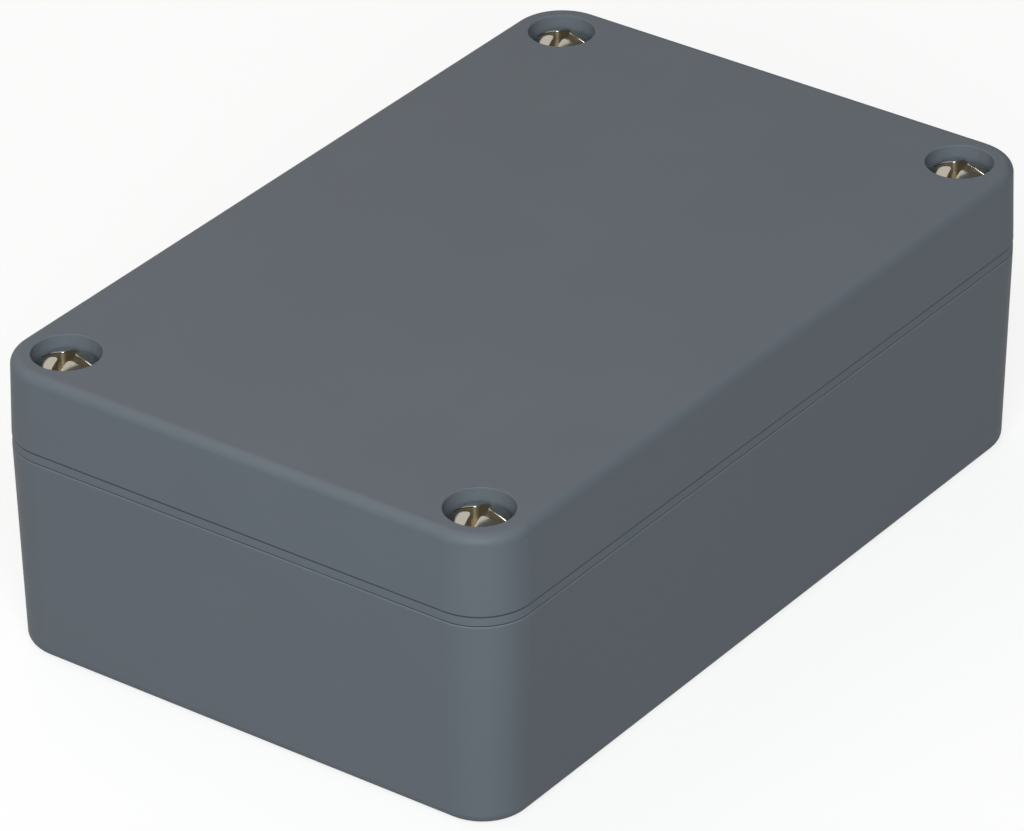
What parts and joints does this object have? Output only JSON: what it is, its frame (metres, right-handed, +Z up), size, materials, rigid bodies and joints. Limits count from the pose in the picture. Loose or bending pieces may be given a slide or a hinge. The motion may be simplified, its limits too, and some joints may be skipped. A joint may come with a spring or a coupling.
{
  "type": "plastic enclosure",
  "caption": "Rectangular sealed box for electronics with a rounded base, a deep screwed lid with captive corner screws, a gasket, board bosses and wall fixing holes.",
  "frame": {"origin": "centre of the base's flat underside", "axes": "+X along the long side, +Z up through the lid"},
  "size_m": [0.098, 0.064, 0.034],
  "materials": {
    "case_plastic": "fine matt moulded grey",
    "seal_rubber": "matt black",
    "ring_rubber": "matt black",
    "screw_metal": "bright nickel plate",
    "insert_brass": "turned"
  },
  "bodies": {
    "base": {"base": "case_plastic", "lid_insert_front_left": "insert_brass", "lid_insert_front_right": "insert_brass", "lid_insert_back_left": "insert_brass", "lid_insert_back_right": "insert_brass", "board_insert_front_left": "insert_brass", "board_insert_front_right": "insert_brass", "board_insert_back_left": "insert_brass", "board_insert_back_right": "insert_brass"},
    "lid": {"lid": "case_plastic", "gasket": "seal_rubber"},
    "ring_front_left": {"retaining_ring_front_left": "ring_rubber"},
    "screw_front_left": {"lid_screw_front_left": "screw_metal"},
    "ring_front_right": {"retaining_ring_front_right": "ring_rubber"},
    "screw_front_right": {"lid_screw_front_right": "screw_metal"},
    "ring_back_left": {"retaining_ring_back_left": "ring_rubber"},
    "screw_back_left": {"lid_screw_back_left": "screw_metal"},
    "ring_back_right": {"retaining_ring_back_right": "ring_rubber"},
    "screw_back_right": {"lid_screw_back_right": "screw_metal"}
  },
  "joints": [
    {"name": "lid_lift", "type": "slide", "parent": "base", "child": "lid", "axis": [0, 0, 1], "range_m": [0, 0.045]},
    {"name": "screw_rise_front_left", "type": "slide", "parent": "lid", "child": "ring_front_left", "axis": [0, 0, 1], "range_m": [0, 0.0063]},
    {"name": "screw_turn_front_left", "type": "hinge", "parent": "ring_front_left", "child": "screw_front_left", "pos_m": [-0.043, -0.026, 0.0309], "axis": [0, 0, 1], "range_deg": [0, 3240]},
    {"name": "screw_rise_front_right", "type": "slide", "parent": "lid", "child": "ring_front_right", "axis": [0, 0, 1], "range_m": [0, 0.0063]},
    {"name": "screw_turn_front_right", "type": "hinge", "parent": "ring_front_right", "child": "screw_front_right", "pos_m": [0.043, -0.026, 0.0309], "axis": [0, 0, 1], "range_deg": [0, 3240]},
    {"name": "screw_rise_back_left", "type": "slide", "parent": "lid", "child": "ring_back_left", "axis": [0, 0, 1], "range_m": [0, 0.0063]},
    {"name": "screw_turn_back_left", "type": "hinge", "parent": "ring_back_left", "child": "screw_back_left", "pos_m": [-0.043, 0.026, 0.0309], "axis": [0, 0, 1], "range_deg": [0, 3240]},
    {"name": "screw_rise_back_right", "type": "slide", "parent": "lid", "child": "ring_back_right", "axis": [0, 0, 1], "range_m": [0, 0.0063]},
    {"name": "screw_turn_back_right", "type": "hinge", "parent": "ring_back_right", "child": "screw_back_right", "pos_m": [0.043, 0.026, 0.0309], "axis": [0, 0, 1], "range_deg": [0, 3240]}
  ],
  "couplings": [
    {"joint": "screw_turn_front_left", "follows": "screw_rise_front_left", "rad_per_m": 8975.9},
    {"joint": "screw_turn_front_right", "follows": "screw_rise_front_right", "rad_per_m": 8975.9},
    {"joint": "screw_turn_back_left", "follows": "screw_rise_back_left", "rad_per_m": 8975.9},
    {"joint": "screw_turn_back_right", "follows": "screw_rise_back_right", "rad_per_m": 8975.9}
  ]
}
